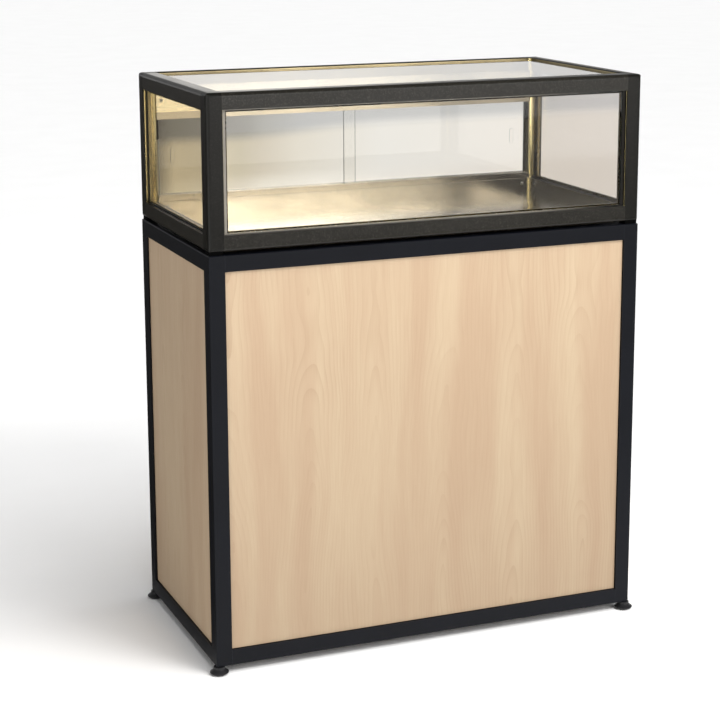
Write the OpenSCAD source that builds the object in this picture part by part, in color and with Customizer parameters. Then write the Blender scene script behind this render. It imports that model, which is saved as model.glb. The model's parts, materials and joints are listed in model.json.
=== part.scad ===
// Glass display showcase: a glazed case with rear sliding doors on a closed storage base.
// X runs along the width, the front faces -Y, and the floor is Z = 0 under the middle.

/* [Overall] */
// Width over the frame tubes
width = 1000; // [800:10:1300]
// Depth over the frame tubes
depth = 500; // [460:10:700]
// Side of the square frame tubes
tube = 35; // [32:1:40]

/* [Base] */
// Height of the base frame, without the feet
base_h = 890; // [700:10:1000]
// Radius of the base frame's outer edges
base_round = 3; // [2:0.5:4]
// Wall of the base tubes
base_wall = 2; // [1.5:0.5:2.5]
// Thickness of the laminate boards
board = 16; // [12:1:19]
// How far the front and side panels sit behind the frame's face
panel_recess = 5; // [2:1:6]
// Height of the shelf's underside above the frame's lowest edge
shelf_height = 420; // [300:10:560]
// Radius of the storage doors' hinge barrels
hinge_barrel_r = 4; // [3.5:0.1:4.2]

/* [Feet] */
// Height of a levelling foot below the frame
foot_h = 18; // [16:1:25]
// Radius of a foot's pad
foot_r = 20.5; // [18:0.5:25]
// Distance from the foot's axis to the frame's outer faces
foot_inset = 8; // [8:0.5:17]

/* [Case] */
// Height of the display case
case_h = 326; // [300:2:420]
// Gap between base and case, filled at the corners by pads
case_gap = 6; // [6:1:15]
// Radius of the case frame's outer edges
case_round = 9; // [5:1:9]
// Wall of the case tubes
case_wall = 3; // [3:0.5:4]
// Thickness of the fixed glass
glass = 6; // [5:1:8]
// How far the fixed side and front glass sit behind the frame's face
glass_recess = 8; // [6:1:10]
// Thickness of the brass sheet parts
sheet = 1.2; // [1:0.1:1.5]
// Height of the tray's floor above the case's lowest edge
tray_floor = 7; // [4:1:12]

/* [Sliding doors] */
// Thickness of a sliding glass door
door_glass = 5; // [4:1:5]
// How far the two glass doors overlap at the middle
door_overlap = 24; // [16:1:40]
// Height of the header box above the doors
header_h = 54; // [40:1:60]
// Height of the upper double track
upper_track_h = 16; // [14:1:20]
// Height of the lower double track
lower_track_h = 14; // [12:1:16]

/* [Hidden] */

hw = width / 2;
hd = depth / 2;
in_w = hw - tube;                       // half width of an opening between posts
in_d = hd - tube;                       // half depth of an opening between posts
base_z = foot_h;
base_top = base_z + base_h;
base_in_lo = base_z + tube;             // between the base's bottom and top rails
base_in_hi = base_top - tube;
case_z = base_top + case_gap;
case_top = case_z + case_h;
case_in_lo = case_z + tube;             // between the case's bottom and top rails
case_in_hi = case_top - tube;
bit = 1;                                // how far a cutting tool reaches past a face
round_fn = 48;

// Base
panel_gap = 1;                          // free edge all round a fixed panel
panel_in_x = hw - panel_recess - board; // inner face of a side panel
panel_in_y = hd - panel_recess - board; // inner face of the front panel
shelf_z = base_z + shelf_height;
pin_r = 2.5;
pin_len = 20;
pin_hole = 10;
pin_pitch = 64;
pin_y = 150;
clip = [2, 20, 30];                     // sheet, leg, height
clip_heights = [for (share = [0.12, 0.5, 0.88]) base_in_lo + share * (base_in_hi - base_in_lo)];
clip_screw_r = 1.75;
clip_head = [3.5, 2];                   // radius and height of the screw's head
deck_drop = 2;
plug_h = 30;

// Storage doors
door_gap = 2;
door_in_y = hd - board;
hinge_h = 60;
hinge_third = hinge_h / 3;
hinge_rows = [base_in_lo + 90, base_in_hi - 90];
hinge_x = in_w - 0.5;
hinge_y = hd + hinge_barrel_r + 0.3;
hinge_sheet = 2;
hinge_leaf = 24;
hinge_pin_r = 2;
running = 0.06;                         // radial clearance of a running fit
knob_x = 46;
knob_z = (base_in_lo + base_in_hi) / 2;
lock_x = 46;
lock_z = base_in_hi - 30;
lock_barrel_r = 9;
lock_plug_r = 6;
lock_barrel_y = hd - 21;
cam_len = 42;
cam_w = 14;
cam_t = 2.5;
cam_y = lock_barrel_y - 1 - cam_t;
cam_side = 1.5;                         // free space at each side of the cam in its slot
catch_x = [140, 180];
catch_h = 14;
strike_t = 1.5;

// Feet
stud_r = 5;
foot_gap = 0.2;

// Case
pad_recess = 3;
pad_spigot = 12;
liner_round = 8;                        // radius of the posts' inner corners
glass_in_w = in_w - sheet;              // half width between the liners
glass_in_d = in_d - sheet;
gasket = [7, 2.5];                      // width of an upright and of a level gasket
gasket_lip = 1;                         // how far it stands in front of the pane
bead = [3.5, 6];                        // how far a bead covers the pane, and its depth behind it
top_recess = 4;
top_gasket = 2;
ledge_w = 12;
ledge_drop = 1;                         // from the rails' top down to the ledges' upper edge
track_y = [in_d + 2, hd - 3];           // front and back of the header and tracks
groove_w = door_glass + 2;
groove_y = [in_d + 10.5, in_d + 23.5];  // middle of the inner and outer door's groove
groove_skin = 2;
door_clear = 0.5;
header_lo = case_in_hi - header_h;
upper_lo = header_lo - upper_track_h;
lower_hi = case_in_lo + lower_track_h;
lower_groove = 8;
buffer = [5, 9, 45];
door_end = glass_in_w - buffer[0] - 0.3;
grip = [10, 36, 1.5];
grip_from_end = 32;
rivet_r = 2;
rivet_head_r = 4;
rivet_head_h = 2;
rivet_z = case_z + 23;
rivet_x = in_w - 20;
rivet_y = in_d - 33;
header_screw_x = glass_in_w - 11;

paint_black = [0.13, 0.14, 0.16];
case_black = [0.20, 0.19, 0.18];
beech = [0.85, 0.74, 0.58];
brass_look = [0.72, 0.64, 0.42];
glass_look = [0.75, 0.85, 0.85, 0.35];
steel_look = [0.70, 0.70, 0.72];
rubber_look = [0.08, 0.08, 0.08];

// ---------- helpers ----------

// Box from its lowest to its highest corner
module block(lo, hi) {
    translate(lo) cube(hi - lo);
}

// Draws a piece made for the right rear quarter in the quarter with the given signs
module quarter(sx, sy) {
    mirror([sx < 0 ? 1 : 0, 0, 0]) mirror([0, sy < 0 ? 1 : 0, 0]) children();
}

module all_quarters() {
    for (sx = [-1, 1], sy = [-1, 1]) quarter(sx, sy) children();
}

// Cylinder along +Y that starts at a point
module rod_y(at, r, len) {
    translate(at) rotate([-90, 0, 0]) cylinder(h = len, r = r, $fn = round_fn);
}

// Cylinder along +X that starts at a point
module rod_x(at, r, len) {
    translate(at) rotate([0, 90, 0]) cylinder(h = len, r = r, $fn = round_fn);
}

// Rounded rectangle about the origin
module rounded_rect(x, y, r) {
    square([x - 2 * r, y], center = true);
    square([x, y - 2 * r], center = true);
    for (sx = [-1, 1], sy = [-1, 1])
        translate([sx * (x / 2 - r), sy * (y / 2 - r)]) circle(r, $fn = round_fn);
}

// The rounded outer shape of a whole frame, from which its posts and rails are cut
module frame_envelope(z0, h, r) {
    intersection() {
        translate([0, 0, z0]) linear_extrude(h) rounded_rect(width, depth, r);
        translate([0, hd + bit, z0 + h / 2]) rotate([90, 0, 0])
            linear_extrude(depth + 2 * bit) rounded_rect(width, h, r);
        translate([-hw - bit, 0, z0 + h / 2]) rotate([90, 0, 90])
            linear_extrude(width + 2 * bit) rounded_rect(depth, h, r);
    }
}

// Post of the right rear quarter, closed at the top
module frame_post(z0, h, r, wall) {
    difference() {
        intersection() {
            frame_envelope(z0, h, r);
            block([in_w, in_d, z0], [hw, hd, z0 + h]);
        }
        block([in_w + wall, in_d + wall, z0 - bit], [hw - wall, hd - wall, z0 + h - wall]);
    }
}

// Rail along X at the rear, between the posts, with its underside at z
module long_rail(z0, h, r, wall, z) {
    difference() {
        intersection() {
            frame_envelope(z0, h, r);
            block([-in_w, in_d, z], [in_w, hd, z + tube]);
        }
        block([-in_w - bit, in_d + wall, z + wall], [in_w + bit, hd - wall, z + tube - wall]);
    }
}

// Rail along Y at the right, between the posts, with its underside at z
module short_rail(z0, h, r, wall, z) {
    difference() {
        intersection() {
            frame_envelope(z0, h, r);
            block([in_w, -in_d, z], [hw, in_d, z + tube]);
        }
        block([in_w + wall, -in_d - bit, z + wall], [hw - wall, in_d + bit, z + tube - wall]);
    }
}

// Two long and two short rails at one height
module rail_ring(z0, h, r, wall, z) {
    for (sy = [-1, 1]) quarter(1, sy) long_rail(z0, h, r, wall, z);
    for (sx = [-1, 1]) quarter(sx, 1) short_rail(z0, h, r, wall, z);
}

// ---------- base frame ----------

module base_post(sx, sy) {
    color(paint_black) quarter(sx, sy) frame_post(base_z, base_h, base_round, base_wall);
}

module base_post_front_left() { base_post(-1, -1); }
module base_post_front_right() { base_post(1, -1); }
module base_post_rear_left() { base_post(-1, 1); }
module base_post_rear_right() { base_post(1, 1); }

// Slot through which a lock's cam enters the rear rail, for the right door
module cam_slot() {
    block([lock_x - 8, cam_y - cam_side, base_in_hi - bit],
          [lock_x + 33, cam_y + cam_t + cam_side, base_in_hi + base_wall + bit]);
}

module base_top_rails() {
    color(paint_black) difference() {
        rail_ring(base_z, base_h, base_round, base_wall, base_in_hi);
        for (sx = [-1, 1]) quarter(sx, 1) cam_slot();
    }
}

module base_bottom_rails() {
    color(paint_black) rail_ring(base_z, base_h, base_round, base_wall, base_z);
}

module post_end_plugs() {
    color(rubber_look) all_quarters() difference() {
        block([in_w + base_wall, in_d + base_wall, base_z],
              [hw - base_wall, hd - base_wall, base_z + plug_h]);
        translate([hw - foot_inset, hd - foot_inset, base_z - bit])
            cylinder(h = plug_h + 2 * bit, r = stud_r + running, $fn = round_fn);
    }
}

// Moulded pad with a flared skirt, on a threaded stud
module foot(sx, sy) {
    neck_r = foot_r * 0.6;
    color(rubber_look) quarter(sx, sy) translate([hw - foot_inset, hd - foot_inset, 0]) {
        rotate_extrude($fn = round_fn) polygon([
            [0, 0], [foot_r * 0.66, 0], [foot_r - 0.5, foot_h * 0.24], [foot_r, foot_h * 0.33],
            [foot_r * 0.7, foot_h * 0.6], [neck_r, foot_h * 0.78],
            [neck_r, foot_h - foot_gap], [0, foot_h - foot_gap]
        ]);
        translate([0, 0, foot_h - bit]) cylinder(h = plug_h + bit, r = stud_r, $fn = round_fn);
    }
}

module foot_front_left() { foot(-1, -1); }
module foot_front_right() { foot(1, -1); }
module foot_rear_left() { foot(-1, 1); }
module foot_rear_right() { foot(1, 1); }

// ---------- base panels ----------

// Angle clip on the front post's side face that holds the front panel, right side
module front_clip(z) {
    block([in_w - clip[1], -panel_in_y, z - clip[2] / 2], [in_w, -panel_in_y + clip[0], z + clip[2] / 2]);
    block([in_w - clip[0], -panel_in_y, z - clip[2] / 2], [in_w, -in_d, z + clip[2] / 2]);
}

// Angle clip on a post's inner face that holds the right side panel
module side_clip(z) {
    block([panel_in_x - clip[0], in_d - clip[1], z - clip[2] / 2], [panel_in_x, in_d, z + clip[2] / 2]);
    block([in_w, in_d - clip[0], z - clip[2] / 2], [panel_in_x, in_d, z + clip[2] / 2]);
}

// Angle clip under the deck board, on a long rail
module deck_clip(x) {
    low = base_top - deck_drop - board;
    block([x - clip[2] / 2, in_d - clip[1], low - clip[0]], [x + clip[2] / 2, in_d, low]);
    block([x - clip[2] / 2, in_d - clip[0], base_in_hi + 2], [x + clip[2] / 2, in_d, low]);
}

// Screws of the front clips and the side clips: head outside the clip, shank into the panel
module clip_screw_set(head) {
    for (z = clip_heights) {
        for (sx = [-1, 1]) quarter(sx, 1)
            translate([in_w - clip[1] * 0.6, -panel_in_y + clip[0], z]) rotate([90, 0, 0]) clip_screw(head);
        all_quarters()
            translate([panel_in_x - clip[0], in_d - clip[1] * 0.6, z]) rotate([0, 90, 0]) clip_screw(head);
    }
}

// One screw that points along +Z, with its head under the origin
module clip_screw(head) {
    if (head) translate([0, 0, -clip_head[1]]) cylinder(h = clip_head[1], r = clip_head[0], $fn = round_fn);
    cylinder(h = clip[0] + pin_hole, r = clip_screw_r, $fn = round_fn);
}

module panel_clips() {
    color(steel_look) difference() {
        union() {
            for (z = clip_heights) {
                for (sx = [-1, 1]) quarter(sx, 1) front_clip(z);
                all_quarters() side_clip(z);
            }
            for (x = [-in_w * 0.7, 0, in_w * 0.7], sy = [-1, 1]) quarter(1, sy) deck_clip(x);
        }
        clip_screw_set(false);
    }
}

module panel_screws() {
    color(steel_look) clip_screw_set(true);
}

module front_panel() {
    color(beech) difference() {
        block([-in_w + panel_gap, -hd + panel_recess, base_in_lo + panel_gap],
              [in_w - panel_gap, -panel_in_y, base_in_hi - panel_gap]);
        clip_screw_set(false);
    }
}

module side_panel(sx) {
    color(beech) difference() {
        quarter(sx, 1) difference() {
            block([panel_in_x, -in_d + panel_gap, base_in_lo + panel_gap],
                  [hw - panel_recess, in_d - panel_gap, base_in_hi - panel_gap]);
            for (step = [-1 : 1], sy = [-1, 1])
                rod_x([panel_in_x - bit, sy * pin_y, shelf_z - pin_r + step * pin_pitch],
                      pin_r, pin_hole + bit);
        }
        clip_screw_set(false);
    }
}

module left_panel() { side_panel(-1); }
module right_panel() { side_panel(1); }

// Board that lies on the bottom rails, notched round the posts
module base_floor() {
    gap = panel_gap;
    color(beech) {
        translate([0, 0, base_in_lo]) linear_extrude(board) union() {
            translate([-in_w + gap, -panel_in_y + gap])
                square([2 * (in_w - gap), panel_in_y + door_in_y - 3 * gap]);
            translate([-panel_in_x + gap, -in_d + gap]) square([2 * (panel_in_x - gap), 2 * (in_d - gap)]);
        }
    }
}

// Board between the top rails, under the case
module base_deck() {
    color(beech) block([-in_w + panel_gap, -in_d + panel_gap, base_top - deck_drop - board],
                       [in_w - panel_gap, in_d - panel_gap, base_top - deck_drop]);
}

module storage_shelf() {
    side = panel_in_x - clip[0] - 0.5;
    color(beech) block([-side, -in_d + 3, shelf_z], [side, in_d - 12, shelf_z + board]);
}

module shelf_pins() {
    color(steel_look) for (sx = [-1, 1], sy = [-1, 1]) quarter(sx, sy)
        rod_x([panel_in_x + pin_hole - pin_len, pin_y, shelf_z - pin_r], pin_r, pin_len);
}

// ---------- storage doors ----------

// Right door; the left one is its mirror image
module storage_door(sx) {
    color(beech) quarter(sx, 1) difference() {
        block([door_gap / 2, door_in_y, base_in_lo + door_gap],
              [in_w - door_gap, hd, base_in_hi - door_gap]);
        rod_y([lock_x, door_in_y - bit, lock_z], lock_barrel_r, board + 2 * bit);
        rod_y([knob_x, hd - pin_hole, knob_z], 4, pin_hole + bit);
    }
}

module storage_door_left() { storage_door(-1); }
module storage_door_right() { storage_door(1); }

module door_knob(sx) {
    color(rubber_look) quarter(sx, 1) {
        rod_y([knob_x, hd - pin_hole, knob_z], 4, pin_hole);
        translate([knob_x, hd, knob_z]) rotate([-90, 0, 0]) rotate_extrude($fn = round_fn)
            polygon([[0, 0], [9, 0], [8, 4], [13, 8], [13, 10.5], [12, 11.5], [0, 11.5]]);
    }
}

module door_knob_left() { door_knob(-1); }
module door_knob_right() { door_knob(1); }

// Knuckle cylinder between two heights, about the right door's pin
module knuckle(z, lo, hi, r) {
    translate([hinge_x, hinge_y, z + lo]) cylinder(h = hi - lo, r = r, $fn = round_fn);
}

module fixed_leaf(z) {
    half = hinge_h / 2;
    inner = half - hinge_third;
    difference() {
        union() {
            block([in_w + 5, hd, z - half], [in_w + hinge_leaf, hd + hinge_sheet, z + half]);
            for (s = [-1, 1]) {
                lo = s < 0 ? -half : inner;
                hi = s < 0 ? -inner : half;
                knuckle(z, lo, hi, hinge_barrel_r);
                block([hinge_x, hd, z + lo], [in_w + 6, hd + hinge_sheet, z + hi]);
            }
        }
        knuckle(z, -half - bit, half + bit, hinge_pin_r);
    }
}

module moving_leaf(z) {
    half = hinge_h / 2;
    inner = half - hinge_third - 0.3;
    difference() {
        union() {
            block([hinge_x - hinge_leaf - 5, hd, z - half], [hinge_x - 5, hd + hinge_sheet, z + half]);
            knuckle(z, -inner, inner, hinge_barrel_r);
            block([hinge_x - 6, hd, z - inner], [hinge_x, hd + hinge_sheet, z + inner]);
        }
        knuckle(z, -half - bit, half + bit, hinge_pin_r + running);
    }
}

module hinge_fixed_leaves() {
    color(steel_look) for (sx = [-1, 1], z = hinge_rows) quarter(sx, 1) fixed_leaf(z);
}

module hinge_pins() {
    half = hinge_h / 2;
    color(steel_look) for (sx = [-1, 1], z = hinge_rows) quarter(sx, 1) {
        knuckle(z, -half, half, hinge_pin_r);
        for (s = [-1, 1]) knuckle(z + s * (half + 0.75), -0.75, 0.75, hinge_barrel_r - 0.8);
    }
}

module hinge_leaves(sx) {
    color(steel_look) for (z = hinge_rows) quarter(sx, 1) moving_leaf(z);
}

module hinge_leaves_left() { hinge_leaves(-1); }
module hinge_leaves_right() { hinge_leaves(1); }

module lock_body(sx) {
    color(steel_look) quarter(sx, 1) difference() {
        union() {
            rod_y([lock_x, lock_barrel_y, lock_z], lock_barrel_r, hd - lock_barrel_y);
            rod_y([lock_x, hd, lock_z], lock_barrel_r + 2, 1.5);
        }
        rod_y([lock_x, lock_barrel_y - bit, lock_z], lock_plug_r, hd - lock_barrel_y + 2 * bit + 1);
    }
}

module lock_body_left() { lock_body(-1); }
module lock_body_right() { lock_body(1); }

// Turning plug with its key slot, and a square stub that carries the cam
module lock_plug(sx) {
    color(steel_look) quarter(sx, 1) difference() {
        union() {
            rod_y([lock_x, lock_barrel_y - 1, lock_z], lock_plug_r - running, hd + 3 - lock_barrel_y);
            block([lock_x - 3, cam_y - 1.5, lock_z - 3], [lock_x + 3, lock_barrel_y, lock_z + 3]);
        }
        block([lock_x - 0.7, hd - 2, lock_z - 3.6], [lock_x + 0.7, hd + 3, lock_z + 3.6]);
    }
}

module lock_plug_left() { lock_plug(-1); }
module lock_plug_right() { lock_plug(1); }

// Cam plate, unlocked: it points away from the door's free edge
module lock_cam(sx) {
    color(steel_look) quarter(sx, 1) difference() {
        block([lock_x - cam_w / 2, cam_y, lock_z - cam_w / 2],
              [lock_x + cam_len, cam_y + cam_t, lock_z + cam_w / 2]);
        block([lock_x - 3, cam_y - bit, lock_z - 3], [lock_x + 3, cam_y + cam_t + bit, lock_z + 3]);
    }
}

module lock_cam_left() { lock_cam(-1); }
module lock_cam_right() { lock_cam(1); }

module magnet_catches() {
    color(rubber_look) for (sx = [-1, 1]) quarter(sx, 1)
        block([catch_x[0], in_d + 2, base_in_hi - catch_h],
              [catch_x[1], door_in_y - strike_t - 0.3, base_in_hi]);
}

module strike_plate(sx) {
    color(steel_look) quarter(sx, 1)
        block([catch_x[0] + 5, door_in_y - strike_t, base_in_hi - catch_h],
              [catch_x[1] - 5, door_in_y, base_in_hi - door_gap - 1]);
}

module strike_plate_left() { strike_plate(-1); }
module strike_plate_right() { strike_plate(1); }

// ---------- case frame ----------

// Rubber pad between the base post and the case post, with a spigot inside the case post
module case_pads() {
    color(rubber_look) all_quarters() {
        block([in_w + pad_recess, in_d + pad_recess, base_top], [hw - pad_recess, hd - pad_recess, case_z]);
        block([in_w + case_wall, in_d + case_wall, case_z - bit],
              [hw - case_wall, hd - case_wall, case_z + pad_spigot]);
    }
}

// Removes a post's sharp inner corner so that its liner can be rounded
module inner_corner_cut(lo, hi, r) {
    translate([in_w, in_d, lo]) linear_extrude(hi - lo) difference() {
        translate([-bit, -bit]) square(r + bit);
        translate([r, r]) circle(r, $fn = round_fn);
    }
}

module case_post(sx, sy) {
    color(case_black) quarter(sx, sy) difference() {
        frame_post(case_z, case_h, case_round, case_wall);
        inner_corner_cut(case_in_lo, case_in_hi, liner_round);
    }
}

module case_post_front_left() { case_post(-1, -1); }
module case_post_front_right() { case_post(1, -1); }
module case_post_rear_left() { case_post(-1, 1); }
module case_post_rear_right() { case_post(1, 1); }

module case_top_rails() {
    color(case_black) rail_ring(case_z, case_h, case_round, case_wall, case_in_hi);
}

module case_bottom_rails() {
    color(case_black) difference() {
        rail_ring(case_z, case_h, case_round, case_wall, case_z);
        tray_rivets(false);
    }
}

// Brass sheet round the two inner faces of a post
module corner_liner() {
    translate([0, 0, case_in_lo]) linear_extrude(case_in_hi - case_in_lo) difference() {
        union() {
            translate([in_w - sheet + liner_round + sheet, in_d - sheet])
                square([tube - liner_round - 3, sheet]);
            translate([in_w - sheet, in_d + liner_round]) square([sheet, tube - liner_round - 3]);
            intersection() {
                translate([in_w - sheet, in_d - sheet]) square(liner_round + sheet);
                translate([in_w + liner_round, in_d + liner_round])
                    circle(liner_round + sheet, $fn = round_fn);
            }
        }
        translate([in_w + liner_round, in_d + liner_round]) circle(liner_round, $fn = round_fn);
        translate([in_w + liner_round, in_d]) square(tube);
        translate([in_w, in_d + liner_round]) square(tube);
    }
}

module corner_liners() {
    color(brass_look) all_quarters() corner_liner();
}

// ---------- fixed glass ----------

module glass_top() {
    x = glass_in_w - top_gasket;
    y = glass_in_d - top_gasket;
    color(glass_look) block([-x, -y, case_top - top_recess - glass], [x, y, case_top - top_recess]);
}

module glass_front() {
    x = glass_in_w - gasket[0];
    color(glass_look) block([-x, -hd + glass_recess, case_in_lo + gasket[1]],
                            [x, -hd + glass_recess + glass, case_in_hi - gasket[1]]);
}

module side_glass(sx) {
    y = glass_in_d - gasket[0];
    color(glass_look) quarter(sx, 1)
        block([hw - glass_recess - glass, -y, case_in_lo + gasket[1]],
              [hw - glass_recess, y, case_in_hi - gasket[1]]);
}

module glass_left() { side_glass(-1); }
module glass_right() { side_glass(1); }

// Upright ring in the case's opening of half width w: it stands from near to far behind the
// frame's face, and its members are as wide as rim says
module pane_ring(w, near, far, rim) {
    difference() {
        block([-w, near, case_in_lo], [w, far, case_in_hi]);
        block([-w + rim[0], near - bit, case_in_lo + rim[1]], [w - rim[0], far + bit, case_in_hi - rim[1]]);
    }
}

// Rings of one section for the front, left and right glass
module pane_rings(near, far, rim) {
    translate([0, -hd, 0]) pane_ring(glass_in_w, near, far, rim);
    for (s = [-1, 1]) rotate([0, 0, s * 90]) translate([0, -hw, 0]) pane_ring(glass_in_d, near, far, rim);
}

// Gaskets round the edges of the front, left, right and top glass
module glass_gaskets() {
    color(rubber_look) {
        pane_rings(glass_recess - gasket_lip, glass_recess + glass, gasket);
        difference() {
            block([-glass_in_w, -glass_in_d, case_top - top_recess - glass],
                  [glass_in_w, glass_in_d, case_top - top_recess]);
            block([-glass_in_w + top_gasket, -glass_in_d + top_gasket, case_in_hi],
                  [glass_in_w - top_gasket, glass_in_d - top_gasket, case_top]);
        }
    }
}

// Brass beads behind the front, left and right glass
module glazing_beads() {
    behind = glass_recess + glass;
    color(brass_look) pane_rings(behind, behind + bead[1], [gasket[0] + bead[0], gasket[1] + bead[0]]);
}

// Brass angles inside the top rails, joined to a ring, that carry the top glass
module glass_ledges() {
    hi = case_top - top_recess - glass;
    color(brass_look) {
        for (sy = [-1, 1]) quarter(1, sy) {
            block([-in_w, glass_in_d, case_in_hi], [in_w, in_d, case_top - ledge_drop]);
            block([-in_w, in_d - ledge_w, hi - sheet], [in_w, in_d, hi]);
        }
        for (sx = [-1, 1]) quarter(sx, 1) {
            block([glass_in_w, -in_d, case_in_hi], [in_w, in_d, case_top - ledge_drop]);
            block([in_w - ledge_w, -in_d + ledge_w, hi - sheet], [in_w, in_d - ledge_w, hi]);
        }
    }
}

// ---------- tray and doors ----------

// Rivets through the tray's upstands into the bottom rails, two at each corner
module tray_rivets(head) {
    all_quarters() {
        translate([rivet_x, in_d - sheet, rivet_z]) rotate([-90, 0, 0]) rivet(head);
        translate([in_w - sheet, rivet_y, rivet_z]) rotate([0, 90, 0]) rivet(head);
    }
}

// Domed head of radius r and height h under the origin
module dome_head(r, h) {
    dome_r = (r * r + h * h) / (2 * h);
    rotate_extrude($fn = round_fn) intersection() {
        translate([0, dome_r - h]) circle(dome_r, $fn = round_fn);
        translate([0, -h]) square([r, h]);
    }
}

// One rivet that points along +Z
module rivet(head) {
    if (head) dome_head(rivet_head_r, rivet_head_h);
    cylinder(h = sheet + case_wall, r = rivet_r, $fn = round_fn);
}

module display_tray() {
    low = case_z + tray_floor - sheet;
    color(brass_look) difference() {
        block([-in_w, -in_d, low], [in_w, in_d, case_in_lo]);
        block([-in_w + sheet, -in_d + sheet, low + sheet], [in_w - sheet, in_d - sheet, case_in_lo + bit]);
        tray_rivets(false);
    }
}

// Box above the doors, from liner to liner
module door_header() {
    wall = 1.5;
    color(brass_look) difference() {
        block([-glass_in_w, track_y[0], header_lo], [glass_in_w, track_y[1], case_in_hi]);
        block([-glass_in_w - bit, track_y[0] + wall, header_lo + wall],
              [glass_in_w + bit, track_y[1] - wall, case_in_hi - wall]);
        header_screws(false);
    }
}

module header_screws(head) {
    for (sx = [-1, 1]) quarter(sx, 1)
        translate([header_screw_x, track_y[0], (header_lo + case_in_hi) / 2]) rotate([-90, 0, 0]) {
            if (head) difference() {
                dome_head(rivet_head_r, rivet_head_h);
                translate([0, 0, -rivet_head_h - bit]) cylinder(h = 1.2, r = 1.4, $fn = 6);
            }
            cylinder(h = 12, r = rivet_r, $fn = round_fn);
        }
}

module case_screws() {
    color(steel_look) {
        tray_rivets(true);
        header_screws(true);
    }
}

module upper_track() {
    color(brass_look) difference() {
        block([-glass_in_w, track_y[0], upper_lo], [glass_in_w, track_y[1], header_lo]);
        for (y = groove_y)
            block([-glass_in_w - bit, y - groove_w / 2, upper_lo - bit],
                  [glass_in_w + bit, y + groove_w / 2, header_lo - groove_skin]);
    }
}

module lower_track() {
    color(brass_look) difference() {
        block([-glass_in_w, track_y[0], case_in_lo], [glass_in_w, track_y[1], lower_hi]);
        for (y = groove_y)
            block([-glass_in_w - bit, y - groove_w / 2, lower_hi - lower_groove],
                  [glass_in_w + bit, y + groove_w / 2, lower_hi + bit]);
    }
}

// The inner door stops against the left buffer, the outer door against the right one
module door_buffers() {
    color(rubber_look) for (i = [0, 1])
        translate([i == 0 ? -glass_in_w : glass_in_w - buffer[0],
                   groove_y[i] - buffer[1] / 2, upper_lo - buffer[2]])
            cube(buffer);
}

// Sliding glass panel from x0 to x1 in the groove at y, with a ground finger grip near its outer end
module glass_door(x0, x1, y, grip_x) {
    lo = lower_hi - lower_groove + door_clear;
    hi = header_lo - groove_skin - 1.5;
    grip_z = (lo + hi) / 2;
    color(glass_look) difference() {
        block([x0, y - door_glass / 2, lo], [x1, y + door_glass / 2, hi]);
        translate([grip_x, y + door_glass / 2 + bit, grip_z]) rotate([90, 0, 0])
            linear_extrude(grip[2] + bit) {
                square([grip[0], grip[1] - grip[0]], center = true);
                for (s = [-1, 1])
                    translate([0, s * (grip[1] - grip[0]) / 2]) circle(grip[0] / 2, $fn = round_fn);
            }
    }
}

module glass_door_left() {
    glass_door(-door_end, door_overlap / 2, groove_y[0], -door_end + grip_from_end);
}

module glass_door_right() {
    glass_door(-door_overlap / 2, door_end, groove_y[1], door_end - grip_from_end);
}

// ---------- drawing ----------

base_post_front_left();
base_post_front_right();
base_post_rear_left();
base_post_rear_right();
base_top_rails();
base_bottom_rails();
post_end_plugs();
front_panel();
left_panel();
right_panel();
base_floor();
base_deck();
storage_shelf();
shelf_pins();
panel_clips();
panel_screws();
storage_door_left();
storage_door_right();
door_knob_left();
door_knob_right();
hinge_fixed_leaves();
hinge_pins();
hinge_leaves_left();
hinge_leaves_right();
lock_body_left();
lock_body_right();
lock_plug_left();
lock_plug_right();
lock_cam_left();
lock_cam_right();
magnet_catches();
strike_plate_left();
strike_plate_right();
foot_front_left();
foot_front_right();
foot_rear_left();
foot_rear_right();
case_pads();
case_post_front_left();
case_post_front_right();
case_post_rear_left();
case_post_rear_right();
case_top_rails();
case_bottom_rails();
glass_top();
glass_front();
glass_left();
glass_right();
glass_gaskets();
glazing_beads();
glass_ledges();
display_tray();
corner_liners();
door_header();
upper_track();
lower_track();
door_buffers();
glass_door_left();
glass_door_right();
case_screws();
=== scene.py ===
"""Looks of the glass display showcase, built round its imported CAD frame."""
import json
import math

import bmesh
import bpy
from mathutils import Matrix, Vector


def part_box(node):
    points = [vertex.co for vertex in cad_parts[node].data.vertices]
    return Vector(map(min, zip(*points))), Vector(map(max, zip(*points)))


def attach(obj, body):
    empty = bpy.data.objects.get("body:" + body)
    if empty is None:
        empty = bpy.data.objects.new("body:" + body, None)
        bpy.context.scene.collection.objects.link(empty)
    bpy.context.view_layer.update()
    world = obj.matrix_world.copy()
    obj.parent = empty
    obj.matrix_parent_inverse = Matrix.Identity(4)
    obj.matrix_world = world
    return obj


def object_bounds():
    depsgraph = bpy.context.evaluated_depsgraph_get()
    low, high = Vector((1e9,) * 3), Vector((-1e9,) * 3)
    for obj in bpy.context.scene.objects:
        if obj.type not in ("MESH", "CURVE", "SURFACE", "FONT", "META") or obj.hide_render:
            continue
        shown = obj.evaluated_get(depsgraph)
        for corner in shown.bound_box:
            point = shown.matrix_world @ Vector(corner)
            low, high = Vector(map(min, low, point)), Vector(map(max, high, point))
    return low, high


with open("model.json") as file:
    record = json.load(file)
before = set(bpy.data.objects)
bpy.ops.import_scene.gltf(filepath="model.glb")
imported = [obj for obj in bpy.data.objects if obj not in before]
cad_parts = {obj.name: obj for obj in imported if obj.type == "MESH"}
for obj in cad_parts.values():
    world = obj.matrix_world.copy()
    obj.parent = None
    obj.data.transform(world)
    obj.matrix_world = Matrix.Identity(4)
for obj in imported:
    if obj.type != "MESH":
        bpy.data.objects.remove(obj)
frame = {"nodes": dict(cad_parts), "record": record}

CAD_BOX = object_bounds()
MM = 0.001


# ---------- node materials ----------

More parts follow.
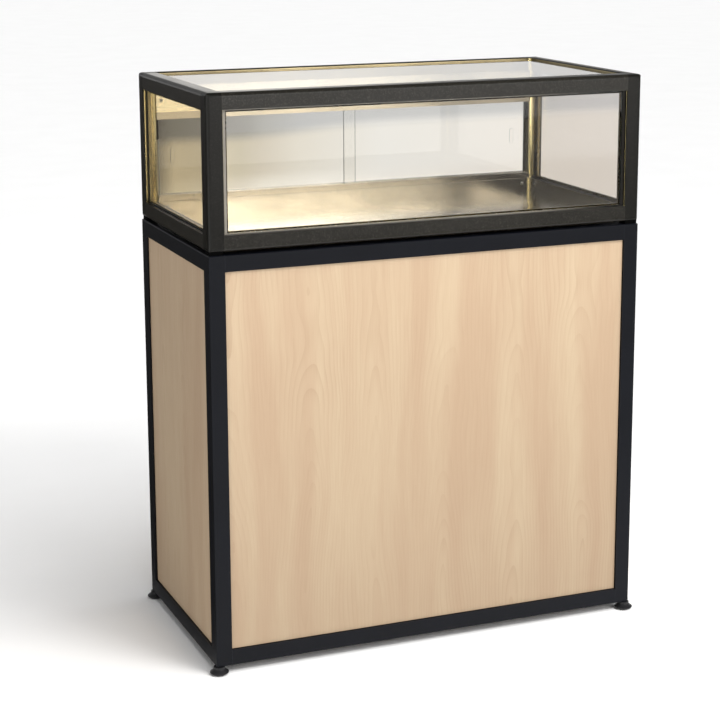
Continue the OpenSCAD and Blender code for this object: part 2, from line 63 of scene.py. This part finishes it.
def linear(red, green, blue):
    """A display colour of 0 to 255 as the linear colour that shaders use."""
    def channel(value):
        value /= 255
        return value / 12.92 if value <= 0.04045 else ((value + 0.055) / 1.055) ** 2.4
    return (channel(red), channel(green), channel(blue), 1.0)


def scaled(colour, factor):
    """A linear colour made lighter or darker."""
    return tuple(c * factor for c in colour[:3]) + (1.0,)


class Nodes:
    """Short calls that build the node tree of a material or of the world."""

    def __init__(self, owner):
        owner.use_nodes = True
        self.tree = owner.node_tree

    def feed(self, socket, value):
        if isinstance(value, bpy.types.NodeSocket):
            self.tree.links.new(value, socket)
        else:
            socket.default_value = value

    def add(self, kind, inputs=(), **settings):
        node = self.tree.nodes.new("ShaderNode" + kind)
        for key, value in settings.items():
            setattr(node, key, value)
        for key, value in dict(inputs).items():
            self.feed(node.inputs[key], value)
        return node

    def coordinates(self, kind="Object"):
        """Where a point is in the object's own frame, or another output of Texture Coordinate."""
        return self.add("TexCoord").outputs[kind]

    def position(self, scale=(1, 1, 1)):
        """Position in the object's own frame, stretched by scale."""
        inputs = {"Vector": self.coordinates(), "Scale": scale}
        return self.add("Mapping", inputs).outputs["Vector"]

    def split(self, vector):
        """The outputs X, Y and Z of a vector."""
        return self.add("SeparateXYZ", {0: vector}).outputs

    def join(self, x, y, z=0.0):
        """The vector, or colour, of three values."""
        return self.add("CombineXYZ", {0: x, 1: y, 2: z}).outputs[0]

    def noise(self, vector, scale=1.0, detail=2.0, roughness=0.5, distortion=0.0):
        settings = {"Vector": vector, "Scale": scale, "Detail": detail,
                    "Roughness": roughness, "Distortion": distortion}
        return self.add("TexNoise", settings).outputs["Fac"]

    def ramp(self, value, stops):
        node = self.add("ValToRGB", {"Fac": value})
        elements = node.color_ramp.elements
        while len(elements) < len(stops):
            elements.new(1.0)
        for element, (place, colour) in zip(elements, stops):
            element.position = place
            element.color = colour
        return node.outputs["Color"]

    def mix(self, factor, first, second, blend="MIX"):
        node = self.add("Mix", data_type="RGBA", blend_type=blend)
        self.feed(node.inputs[0], factor)
        self.feed(node.inputs[6], first)
        self.feed(node.inputs[7], second)
        return node.outputs[2]

    def shaded(self, colour, level):
        """A colour times a level of 0 to 1."""
        return self.mix(1.0, colour, self.join(level, level, level), blend="MULTIPLY")

    def math(self, operation, first, second=0.0, third=0.0):
        node = self.add("Math", operation=operation)
        for socket, value in zip(node.inputs, (first, second, third)):
            self.feed(socket, value)
        return node.outputs[0]

    def remap(self, value, low, high, to_low, to_high, curve="LINEAR"):
        names = ("Value", "From Min", "From Max", "To Min", "To Max")
        inputs = dict(zip(names, (value, low, high, to_low, to_high)))
        return self.add("MapRange", inputs, interpolation_type=curve).outputs["Result"]

    def bump(self, height, depth):
        """Normal of a relief of the given depth in metres."""
        inputs = {"Height": height, "Distance": depth, "Strength": 1.0}
        return self.add("Bump", inputs).outputs["Normal"]

    def edges(self, radius):
        """1 along sharp edges and 0 on open faces."""
        soft = self.add("Bevel", {"Radius": radius}, samples=6).outputs["Normal"]
        sharp = self.add("NewGeometry").outputs["Normal"]
        match = self.add("VectorMath", {0: soft, 1: sharp}, operation="DOT_PRODUCT")
        return self.remap(match.outputs["Value"], 0.995, 0.80, 0.0, 1.0)


class Paint(Nodes):
    """A material of one Principled BSDF, .shader, whose uniform values are given by name."""

    def __init__(self, name, **uniform):
        self.material = bpy.data.materials.new(name)
        super().__init__(self.material)
        self.shader = self.tree.nodes["Principled BSDF"]
        for socket, value in uniform.items():
            self.shader.inputs[socket.replace("_", " ")].default_value = value

    def drive(self, socket, value):
        self.feed(self.shader.inputs[socket], value)


def powder_coat(name, colour, edge, gloss, grain, relief, shine, speckle):
    """Baked powder paint: a fine even grain, cloudy gloss, and a highlight painted in patches along the
    edges.
    """
    paint = Paint(name, Specular_IOR_Level=shine)
    place = paint.position()
    cloud = paint.noise(place, scale=7.0, detail=4.0)
    tone = paint.ramp(cloud, [(0.30, scaled(colour, 0.82)), (0.70, scaled(colour, 1.18))])
    patches = paint.noise(place, scale=60.0, detail=3.0)
    # Painted highlight: sharp edges are lightened in patches.
    painted_highlight = paint.math("MULTIPLY", paint.edges(1.5 * MM), patches)
    fine = paint.noise(place, scale=1 / grain, detail=3.0, roughness=0.6)
    tone = paint.mix(paint.remap(fine, 0.52, 0.72, 0.0, speckle), tone, edge)
    paint.drive("Base Color", paint.mix(painted_highlight, tone, edge))
    cloudy = paint.remap(cloud, 0.3, 0.7, gloss - 0.04, gloss + 0.05)
    paint.drive("Roughness", paint.math("MULTIPLY_ADD", fine, 0.05, cloudy))
    paint.drive("Normal", paint.bump(fine, relief))
    return paint.material


RING_WIDTH = 7.5 * MM      # from one growth ring to the next
HEART_APART = 165 * MM     # half the distance between the hearts of neighbouring veneers
HEART_START = 620 * MM     # where the first veneer begins
HEART_OFFSET = 85 * MM     # of a heart from its veneer's edge


def wood_grain(paint, across, along):
    """Growth rings cut flat, as two outputs: thin late-wood lines, and a broad tone."""
    def stretched(x, x_scale, y_scale, z=0.0):
        return paint.join(paint.math("MULTIPLY", x, x_scale), paint.math("MULTIPLY", along, y_scale), z)

    def centred(vector, detail):
        return paint.math("SUBTRACT", paint.noise(vector, detail=detail), 0.5)

    swayed = paint.math("MULTIPLY_ADD", centred(stretched(across, 5.0, 1.6), 2.0), 0.085, across)
    heart = paint.math("PINGPONG", paint.math("ADD", swayed, HEART_START), HEART_APART)
    heart = paint.math("SUBTRACT", heart, HEART_OFFSET)
    depth = paint.math("MULTIPLY_ADD", along, 0.055, 0.004)
    depth = paint.math("MULTIPLY_ADD", centred(stretched(across, 3.1, 2.4, 4.0), 2.5), 0.075, depth)
    squares = paint.math("MULTIPLY_ADD", heart, heart, paint.math("MULTIPLY", depth, depth))
    rings = paint.math("MULTIPLY", paint.math("SQRT", squares), 1 / RING_WIDTH)
    lines = paint.math("POWER", paint.math("FRACT", rings), 3.0)
    tone = paint.noise(stretched(swayed, 16.0, 1.1, 9.0), detail=3.0, roughness=0.55)
    return lines, tone


def laminate(name, pale, rosy, line, level=False, foot=1.0):
    """Satin laminate with a printed beech grain, upright or, on level boards, along the width.

    foot is how much of its brightness is left at the foot of an upright board, where shade is painted in.
    """
    paint = Paint(name, Specular_IOR_Level=0.4)
    place = paint.coordinates()
    axes = paint.split(place)
    if level:
        across, along = paint.math("ADD", axes["Y"], axes["Z"]), axes["X"]
    else:
        across, along = paint.math("ADD", axes["X"], axes["Y"]), axes["Z"]
    lines, tone = wood_grain(paint, across, along)
    colour = paint.ramp(tone, [(0.36, pale), (0.64, rosy)])
    strength = paint.remap(paint.noise(place, scale=3.0), 0.35, 0.65, 0.06, 0.34)
    colour = paint.mix(paint.math("MULTIPLY", lines, strength), colour, line)
    fibre_place = paint.join(paint.math("MULTIPLY", across, 700.0), paint.math("MULTIPLY", along, 16.0))
    fibre = paint.noise(fibre_place)
    colour = paint.mix(paint.remap(fibre, 0.35, 0.75, 0.0, 0.16), colour, line)
    # Painted shade: the board darkens towards its foot.
    paint.drive("Base Color", paint.shaded(colour, paint.remap(along, 0.10, 0.80, foot, 1.0)))
    paint.drive("Roughness", paint.remap(fibre, 0.3, 0.7, 0.40, 0.52))
    paint.drive("Normal", paint.bump(fibre, 0.02 * MM))
    return paint.material


def brass(name, bright, dull, gloss, lie="X", right_end_shade=1.0, painted_highlight=None, relief=0.012 * MM):
    """Rolled brass-coloured sheet: long soft rolling marks along the lie, and a little tarnish.

    right_end_shade is how much of its brightness is left at the right end, where shade is painted in.
    painted_highlight is the colour of a highlight painted on upright roundings. relief is the depth of
    the marks.
    """
    paint = Paint(name, Metallic=1.0)
    place = paint.position()
    cloud = paint.noise(place, scale=5.0, detail=4.0)
    tone = paint.ramp(cloud, [(0.32, bright), (0.72, dull)])
    # Painted shade: darker towards the right end.
    if right_end_shade < 1.0:
        across = paint.split(place)["X"]
        tone = paint.shaded(tone, paint.remap(across, -0.20, 0.40, 1.0, right_end_shade, "SMOOTHSTEP"))
    # Painted highlight: roundings that turn between X and Y are painted bright.
    if painted_highlight:
        normal = paint.split(paint.coordinates("Normal"))
        turned = paint.math("ABSOLUTE", paint.math("MULTIPLY", normal["X"], normal["Y"]))
        tone = paint.mix(paint.remap(turned, 0.10, 0.40, 0.0, 1.0), tone, painted_highlight)
    paint.drive("Base Color", tone)
    stretch = [3 if axis == lie else 260 for axis in "XYZ"]
    rolled = paint.noise(paint.position(scale=stretch), detail=3.0)
    cloudy = paint.remap(cloud, 0.3, 0.7, gloss - 0.04, gloss + 0.06)
    paint.drive("Roughness", paint.math("MULTIPLY_ADD", rolled, 0.06, cloudy))
    paint.drive("Normal", paint.bump(rolled, relief))
    return paint.material


def clear_glass(name, axis, tint, edge, slanted=None):
    """Float glass for a pane whose thin direction is axis: clear faces and ground, greener edges.

    Where slanted is given, it is the deeper tint of a long slanting way through the pane, made far deeper
    than real glass as painted shade.
    """
    paint = Paint(name, Transmission_Weight=1.0, IOR=1.5)
    facing = paint.math("ABSOLUTE", paint.split(paint.coordinates("Normal"))[axis])
    face = paint.remap(facing, 0.75, 0.98, 0.0, 1.0)
    # Partly real tint, deepened as painted shade.
    if slanted:
        away = paint.add("LayerWeight", {"Blend": 0.5}).outputs["Facing"]
        tint = paint.mix(paint.remap(away, 0.50, 0.75, 0.0, 1.0), tint, slanted)
    paint.drive("Base Color", paint.mix(face, edge, tint))
    smear = paint.noise(paint.position(scale=(3, 3, 9)), scale=2.0, detail=5.0, roughness=0.65)
    handled = paint.remap(smear, 0.55, 0.85, 0.0, 0.035)
    paint.drive("Roughness", paint.math("ADD", handled, paint.remap(face, 0.0, 1.0, 0.30, 0.0)))
    return paint.material


def moulded(name, colour, edge, gloss, grain, shine=0.35):
    """Moulded plastic or rubber: fine spark-eroded grain, dusty tone and paler edges."""
    paint = Paint(name, Specular_IOR_Level=shine)
    place = paint.position()
    dust = paint.noise(place, scale=25.0, detail=4.0)
    tone = paint.ramp(dust, [(0.35, scaled(colour, 0.8)), (0.75, scaled(colour, 1.4))])
    paler_edges = paint.math("MULTIPLY", paint.edges(0.8 * MM), 0.5)
    paint.drive("Base Color", paint.mix(paler_edges, tone, edge))
    fine = paint.noise(place, scale=1 / grain)
    paint.drive("Roughness", paint.remap(dust, 0.3, 0.7, gloss - 0.05, gloss + 0.08))
    paint.drive("Normal", paint.bump(fine, 0.02 * MM))
    return paint.material


def gasket_rubber(name, clear, dark):
    """Soft gasket, pale in the front opening, and dark at its right end and in the other openings: the
    change from pale to dark is partly the rubber's own colour, partly painted reflection.
    """
    paint = Paint(name, Specular_IOR_Level=0.3)
    place = paint.position()
    axes = paint.split(place)
    pane_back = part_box("glass_front")[1].y
    front = paint.remap(axes["Y"], pane_back + 5 * MM, pane_back + 1 * MM, 0.0, 1.0)
    # Partly painted reflection: the front gasket darkens towards its right end.
    left = paint.remap(axes["X"], 0.44, 0.20, 0.0, 1.0, "SMOOTHSTEP")
    dust = paint.noise(place, scale=25.0, detail=4.0)
    tone = paint.ramp(dust, [(0.35, scaled(clear, 0.9)), (0.75, scaled(clear, 1.1))])
    paint.drive("Base Color", paint.mix(paint.math("MULTIPLY", front, left), dark, tone))
    fine = paint.noise(place, scale=1 / MM)
    paint.drive("Roughness", paint.remap(dust, 0.3, 0.7, 0.55, 0.70))
    paint.drive("Normal", paint.bump(fine, 0.02 * MM))
    return paint.material


def plated_steel(name, bright, dull, gloss):
    """Zinc or nickel plate: cloudy spangle and fine turning marks."""
    paint = Paint(name, Metallic=1.0)
    place = paint.position()
    spangle = paint.noise(place, scale=180.0, detail=3.0)
    paint.drive("Base Color", paint.ramp(spangle, [(0.35, bright), (0.70, dull)]))
    marks = paint.noise(paint.position(scale=(900, 900, 60)))
    paint.drive("Roughness", paint.remap(marks, 0.3, 0.7, gloss - 0.06, gloss + 0.08))
    paint.drive("Normal", paint.bump(marks, 0.01 * MM))
    return paint.material


BEECH = linear(187, 166, 138), linear(178, 153, 126), linear(155, 127, 100)
GLASS_EDGE = (0.55, 0.72, 0.64, 1.0)
FRONT_TINT = (0.975, 0.955, 0.92, 1.0)
SIDE_TINT = (0.95, 0.93, 0.91, 1.0)
# Partly painted shade: far deeper than the real tint of a slanting way through glass.
SLANTED_TINT = (0.80, 0.70, 0.51, 1.0)
DOOR_TINT = (0.985, 0.985, 0.975, 1.0)


def make_materials():
    """Materials by the name of their node or else of their slot, with the thin axis for fixed panes."""
    made = {
        "base_paint": powder_coat("base_powder_coat", linear(10, 12, 18), linear(48, 50, 56),
                                  gloss=0.45, grain=0.7 * MM, relief=0.02 * MM, shine=0.16, speckle=0.10),
        "case_paint": powder_coat("case_powder_coat", linear(20, 18, 13), linear(84, 81, 74),
                                  gloss=0.30, grain=2.2 * MM, relief=0.14 * MM, shine=0.32, speckle=0.40),
        # Painted shade: the posts get a darker copy of the case's powder coat.
        "case_post": powder_coat("post_powder_coat", linear(14, 13, 10), linear(62, 60, 55),
                                 gloss=0.32, grain=2.2 * MM, relief=0.10 * MM, shine=0.22, speckle=0.24),
        "laminate": laminate("beech_laminate", *BEECH),
        # The front panel gets painted shade towards its foot.
        "front_panel": laminate("beech_front", *BEECH, foot=0.76),
        "inner_board": laminate("beech_board", *BEECH, level=True),
        "steel": plated_steel("plated_steel", linear(196, 194, 188), linear(150, 149, 145), gloss=0.30),
        "black_plastic": moulded("black_plastic", linear(27, 27, 29), linear(80, 80, 82),
                                 gloss=0.42, grain=0.5 * MM),
        "black_rubber": moulded("black_rubber", linear(16, 15, 14), linear(44, 42, 40),
                                gloss=0.70, grain=0.9 * MM),
        # Painted shade: the pads are darker and duller than their own rubber, for the shade of the gap
        # they sit in.
        "case_pads": moulded("case_pad_rubber", linear(4, 4, 4), linear(8, 8, 8),
                             gloss=0.85, grain=0.9 * MM, shine=0.04),
        "glass_gaskets": gasket_rubber("gasket_rubber", linear(132, 127, 118), linear(18, 16, 13)),
        "display_tray": brass("champagne_sheet", linear(203, 195, 178), linear(185, 178, 161),
                              gloss=0.16, lie="Y", right_end_shade=0.58, relief=0.004 * MM),
        "upper_track": brass("track_brass", linear(206, 195, 172), linear(188, 177, 154),
                             gloss=0.26, right_end_shade=0.45),
        # Painted light: the header gets a paler, lit copy of the frame's brass.
        "door_header": brass("header_brass", linear(253, 242, 208), linear(240, 226, 188),
                             gloss=0.22, right_end_shade=0.60),
        # Painted shade: ledges and beads get darker, shaded copies of the frame's brass.
        "glass_ledges": brass("ledge_brass", linear(178, 164, 128), linear(156, 142, 108), gloss=0.36),
        "glazing_beads": brass("bead_brass", linear(150, 136, 104), linear(128, 116, 86),
                               gloss=0.24, right_end_shade=0.6),
        "corner_liners": brass("liner_brass", linear(204, 186, 134), linear(180, 162, 112),
                               gloss=0.12, lie="Z", right_end_shade=0.42, painted_highlight=linear(250, 236, 180)),
        "clear_glass_X": clear_glass("side_glass", "X", SIDE_TINT, GLASS_EDGE, SLANTED_TINT),
        "clear_glass_Y": clear_glass("front_glass", "Y", FRONT_TINT, GLASS_EDGE),
        "clear_glass_Z": clear_glass("top_glass", "Z", FRONT_TINT, GLASS_EDGE),
        "door_glass": clear_glass("door_glass", "Y", DOOR_TINT, GLASS_EDGE),
    }
    made["lower_track"] = made["display_tray"]
    return made


# ---------- CAD nodes ----------

BEVELS = {  # width of the softened edge, in metres, for each material slot
    "base_paint": 0.5 * MM, "case_paint": 0.5 * MM, "laminate": 0.6 * MM, "inner_board": 0.6 * MM,
    "steel": 0.25 * MM, "black_plastic": 0.6 * MM, "black_rubber": 0.5 * MM,
    "clear_glass": 0.5 * MM, "door_glass": 0.5 * MM, "brass": 0.2 * MM,
}
FLAT = math.radians(0.5)    # faces that meet at less are one face
SHARP = math.radians(35)    # edges that turn more are softened


def soften(node, width):
    """Takes the hard look off a CAD node's edges with modifiers alone: its mesh stays as it is."""
    weld = node.modifiers.new("weld", "WELD")
    weld.merge_threshold = 0.01 * MM
    flat = node.modifiers.new("flatten", "DECIMATE")
    flat.decimate_type = "DISSOLVE"
    flat.angle_limit = FLAT
    bevel = node.modifiers.new("bevel", "BEVEL")
    bevel.width = width
    bevel.segments = 2
    bevel.limit_method = "ANGLE"
    bevel.angle_limit = SHARP
    shade = node.modifiers.new("shade", "WEIGHTED_NORMAL")
    shade.weight = 100
    node.data.shade_smooth()


def thin_axis(node_name):
    """The letter of the axis along which a pane is thinnest."""
    low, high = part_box(node_name)
    size = high - low
    return "XYZ"[list(size).index(min(size))]


# ---------- added pieces ----------

SHEET = 1.2 * MM   # thickness of the brass sheet
COVE_R = 6 * MM    # radius of the rounded inner corners
ARC_STEPS = 12


def link_mesh(name, shape, material):
    """Turns a finished bmesh into a piece of the fixed body."""
    bmesh.ops.recalc_face_normals(shape, faces=shape.faces)
    mesh = bpy.data.meshes.new(name)
    shape.to_mesh(mesh)
    shape.free()
    mesh.materials.append(material)
    piece = bpy.data.objects.new(name, mesh)
    bpy.context.scene.collection.objects.link(piece)
    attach(piece, "root")
    return piece


def prism(shape, outline, low, high):
    """Adds an upright prism over a closed outline of (x, y) points."""
    rings = [[shape.verts.new((x, y, z)) for x, y in outline] for z in (low, high)]
    shape.faces.new(rings[0])
    shape.faces.new(rings[1])
    for i in range(len(outline)):
        j = (i + 1) % len(outline)
        shape.faces.new((rings[0][i], rings[0][j], rings[1][j], rings[1][i]))


def corner_coves(material):
    """Hollow corner strips: four in the tray, and four in the ring that carries the top glass."""
    shape = bmesh.new()
    tray_low, tray_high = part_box("display_tray")
    ring_low, ring_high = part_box("glass_ledges")
    turns = [math.pi / 2 * i / ARC_STEPS for i in range(ARC_STEPS + 1)]
    levels = ((tray_high, tray_low.z + SHEET, tray_high.z), (ring_high, ring_low.z, ring_high.z))
    for corner, low, high in levels:
        x, y = corner.x - SHEET, corner.y - SHEET
        arc = [(x - COVE_R + COVE_R * math.cos(t), y - COVE_R + COVE_R * math.sin(t)) for t in turns]
        for sx in (-1, 1):
            for sy in (-1, 1):
                prism(shape, [(sx * px, sy * py) for px, py in [(x, y)] + arc[::-1]], low, high)
    piece = link_mesh("corner_coves", shape, material)
    for face in piece.data.polygons:
        face.use_smooth = abs(face.normal.z) < 0.5
    smooth = piece.modifiers.new("shade", "WEIGHTED_NORMAL")
    smooth.weight = 100
    smooth.keep_sharp = True


def finish_cad_nodes(materials):
    """Gives each CAD node its own material or that of its slot, and softer edges."""
    for part in frame["record"]["subparts"]:
        name, slot = part["node"], part["material_slot"]
        node = frame["nodes"][name]
        if slot == "clear_glass":
            slot += "_" + thin_axis(name)
        # The posts take the darker, shaded copy of the case's powder coat.
        if name.startswith("case_post"):
            slot = "case_post"
        node.data.materials.clear()
        node.data.materials.append(materials[name] if name in materials else materials[slot])
        soften(node, BEVELS[part["material_slot"]])


# ---------- studio ----------

FLOOR_REACH = 60.0          # half the floor's side
CLOTH_HEIGHT = 1 * MM
SCREEN_BEHIND = 1.74        # from the showcase's back to the shaded screen
SCREEN_HALF = 4.0           # half the screen's width
SCREEN_TOP = 1.05
WALL_FOOT = (0.819, 0.849)  # height of the grey wall's foot on the screen, at its left and its right
WINDOW = 2.1                # brightness of the soft window

# Painted light and shade across the glowing screen, from left to right: places, and red, green and blue
# at them.
DARK = (0.10, 0.09, 0.08)
WALL = ((0.02, DARK), (0.06, (0.27, 0.26, 0.225)), (0.18, (0.34, 0.33, 0.31)),
        (0.21, (0.43, 0.43, 0.41)), (0.28, (0.52, 0.53, 0.54)), (0.40, (0.57, 0.58, 0.59)),
        (0.66, (0.58, 0.59, 0.60)), (0.80, (0.65, 0.65, 0.67)))
GROUND = ((0.02, DARK), (0.06, (0.83, 0.72, 0.50)), (0.17, (0.66, 0.60, 0.46)),
          (0.21, (0.72, 0.66, 0.55)), (0.27, (0.83, 0.79, 0.70)), (0.42, (0.92, 0.91, 0.88)),
          (0.80, (0.95, 0.91, 0.87)))
NEAR_GROUND = ((0.02, DARK), (0.06, (0.95, 0.84, 0.60)), (0.17, (0.80, 0.74, 0.62)),
               (0.21, (0.90, 0.86, 0.76)), (0.30, (0.98, 0.95, 0.88)), (0.42, (0.94, 0.92, 0.88)),
               (0.80, (0.87, 0.82, 0.77)))

# Brightness up the sky, from the horizon at 0 to straight up at 1.
SKY = ((0.0, 0.85), (0.02, 1.0), (0.055, 1.0), (0.126, 0.72), (0.166, 0.38), (0.5, 0.40), (0.9, 0.18))
WINDOW_FADE = ((0.03, 0.0), (0.10, 0.07), (0.16, 1.0), (0.40, 1.0), (0.60, 0.0))


def opaque(stops):
    """Ramp stops of three values each, with an alpha of 1."""
    return [(place, tuple(colour) + (1.0,)) for place, colour in stops]


def greys(stops):
    """Ramp stops of one level each."""
    return opaque([(place, (level, level, level)) for place, level in stops])


def studio_sheet(name, corners, material):
    """One four-sided face of the studio, which is no part of the object."""
    mesh = bpy.data.meshes.new(name)
    mesh.from_pydata(corners, [], [(0, 1, 2, 3)])
    mesh.materials.append(material)
    sheet = bpy.data.objects.new(name, mesh)
    bpy.context.scene.collection.objects.link(sheet)
    return sheet


def level_corners(low, high, height):
    """Corners of a level rectangle, counter-clockwise seen from above."""
    places = ((low[0], low[1]), (high[0], low[1]), (high[0], high[1]), (low[0], high[1]))
    return [(x, y, height) for x, y in places]


def make_floor():
    """A wide pale floor, and two dark cloths that only reflections see."""
    paint = Paint("pale_floor", Roughness=0.9, Specular_IOR_Level=0.2)
    mottle = paint.noise(paint.position(), scale=3.0, detail=5.0)
    whites = [(0.3, linear(251, 251, 251)), (0.7, linear(254, 254, 254))]
    paint.drive("Base Color", paint.ramp(mottle, whites))
    corners = level_corners((-FLOOR_REACH, -FLOOR_REACH), (FLOOR_REACH, FLOOR_REACH), 0.0)
    studio_sheet("studio_floor", corners, paint.material)

    paint = Paint("dark_cloth", Roughness=0.9, Specular_IOR_Level=0.1)
    weave = paint.noise(paint.position(), scale=200.0)
    paint.drive("Base Color", paint.ramp(weave, [(0.3, linear(52, 50, 46)), (0.7, linear(66, 63, 58))]))
    low, high = CAD_BOX
    for name, corner_low, corner_high in (
            ("dark_cloth_left", (low[0] - 20.0, low[1] + 0.1), (low[0] - 0.02, high[1] + 40.0)),
            ("dark_cloth_right", (low[0] + 0.8, low[1] - 8.8), (high[0] + 30.0, low[1] - 1.0))):
        corners = level_corners(corner_low, corner_high, CLOTH_HEIGHT)
        cloth = studio_sheet(name, corners, paint.material)
        cloth.visible_camera = cloth.visible_diffuse = False
        cloth.visible_transmission = cloth.visible_shadow = False


def make_backdrop():
    """A low shaded screen behind the showcase that is seen only through its panes.

    It glows with a painted grey wall above a cream floor, and both are painted darker at the left, as
    shade.
    """
    paint = Paint("shaded_screen", Roughness=0.9, Specular_IOR_Level=0.0)
    axes = paint.split(paint.coordinates())
    across = paint.math("MULTIPLY_ADD", axes["X"], 0.5, 0.01)
    wall, ground, near = (paint.ramp(across, opaque(stops)) for stops in (WALL, GROUND, NEAR_GROUND))
    foot = paint.remap(axes["X"], 0.26, 0.86, *WALL_FOOT, "SMOOTHSTEP")
    upper = paint.remap(paint.math("SUBTRACT", axes["Z"], foot), 0.0, 0.05, 0.0, 1.0, "SMOOTHSTEP")
    lower = paint.remap(axes["Z"], 0.735, 0.685, 0.0, 1.0, "SMOOTHSTEP")
    shade = paint.mix(upper, paint.mix(lower, ground, near), wall)
    # The screen is no lamp: it glows with its painted colours.
    paint.drive("Base Color", (0.0, 0.0, 0.0, 1.0))
    paint.drive("Emission Color", shade)
    paint.drive("Emission Strength", 1.0)
    y, half = CAD_BOX[1][1] + SCREEN_BEHIND, SCREEN_HALF
    corners = [(-half, y, 0.0), (half, y, 0.0), (half, y, SCREEN_TOP), (-half, y, SCREEN_TOP)]
    screen = studio_sheet("shaded_screen", corners, paint.material)
    screen.visible_camera = screen.visible_diffuse = False
    screen.visible_glossy = screen.visible_shadow = False


def make_world():
    """A grey sky with a bright low band all round, and a soft upright window behind the showcase."""
    world = bpy.data.worlds.new("studio")
    bpy.context.scene.world = world
    sky = Nodes(world)
    axes = sky.split(sky.coordinates("Generated"))
    base = sky.ramp(axes["Z"], greys(SKY))
    slope = sky.math("DIVIDE", axes["X"], sky.math("MAXIMUM", axes["Y"], 0.001))
    right = sky.remap(slope, 0.458, 0.378, 0.0, 1.0, "SMOOTHSTEP")
    left = sky.remap(slope, 0.274, 0.324, 0.0, 1.0, "SMOOTHSTEP")
    upright = sky.ramp(axes["Z"], greys(WINDOW_FADE))
    opening = sky.math("MULTIPLY", sky.math("MULTIPLY", right, left), upright)
    window = sky.mix(opening, (0, 0, 0, 1), (WINDOW, 0.96 * WINDOW, 0.88 * WINDOW, 1))
    sky.feed(sky.tree.nodes["Background"].inputs["Color"], sky.mix(1.0, base, window, blend="ADD"))


AIM = Vector((0.0, 0.0, 0.8))
WARM = (1.0, 0.98, 0.95)
CEILING_WIDTH = math.radians(70)


def add_light(name, kind, place, power, colour=(1.0, 1.0, 1.0), size=None, mirrored=True):
    """A light aimed at the middle of the showcase; mirrored says that glossy surfaces show it."""
    light = bpy.data.lights.new(name, kind)
    light.energy = power
    light.color = colour
    if size:
        light.shape = "RECTANGLE"
        light.size, light.size_y = size
    lamp = bpy.data.objects.new(name, light)
    bpy.context.scene.collection.objects.link(lamp)
    lamp.location = place
    lamp.rotation_euler = (AIM - Vector(place)).to_track_quat("-Z", "Y").to_euler()
    lamp.visible_camera = False
    lamp.visible_glossy = mirrored
    return light


def make_lights():
    """An even light from above, and three softboxes in front and at the left."""
    ceiling = add_light("ceiling", "SUN", (3.0, -4.0, 8.0), 2.68, mirrored=False)
    ceiling.angle = CEILING_WIDTH
    add_light("key_softbox", "AREA", (1.7, -3.2, 3.9), 88, WARM, (1.8, 0.70), mirrored=False)
    add_light("front_softbox", "AREA", (1.7, -4.6, 1.58), 60, WARM, (3.1, 1.6))
    add_light("strip_softbox", "AREA", (-3.4, -2.0, 0.9), 16, WARM, (0.5, 1.8))


CAMERA_PLACE = (-1.6218, -3.8371, 1.6297)
CAMERA_TURN = (22.055, 11.78, 0.214)    # yaw to the right, pitch down and roll, in degrees
CAMERA_LENS = 93.97
CAMERA_SHIFT = -0.1042
SENSOR_WIDTH = 36.0
FAR = 100.0


def make_camera():
    """Camera at the showcase's front left, a little above its top."""
    yaw, pitch, roll = (math.radians(angle) for angle in CAMERA_TURN)
    camera = bpy.data.cameras.new("camera")
    camera.sensor_width = SENSOR_WIDTH
    camera.lens = CAMERA_LENS
    camera.shift_y = CAMERA_SHIFT
    camera.clip_end = FAR
    holder = bpy.data.objects.new("camera", camera)
    bpy.context.scene.collection.objects.link(holder)
    turns = ((-yaw, "Z"), (math.pi / 2 - pitch, "X"), (-roll, "Z"))
    placed = Matrix.Translation(CAMERA_PLACE)
    for angle, axis in turns:
        placed = placed @ Matrix.Rotation(angle, 4, axis)
    holder.matrix_world = placed
    bpy.context.scene.camera = holder


def main():
    finish_cad_nodes(make_materials())
    # Painted highlight: the coves get a paler, lit copy of the frame's brass.
    corner_coves(brass("cove_brass", linear(248, 233, 176), linear(236, 220, 160), gloss=0.10, lie="Z"))
    make_floor()
    make_backdrop()
    make_world()
    make_lights()
    make_camera()
    bpy.context.scene.view_settings.view_transform = "Standard"


main()
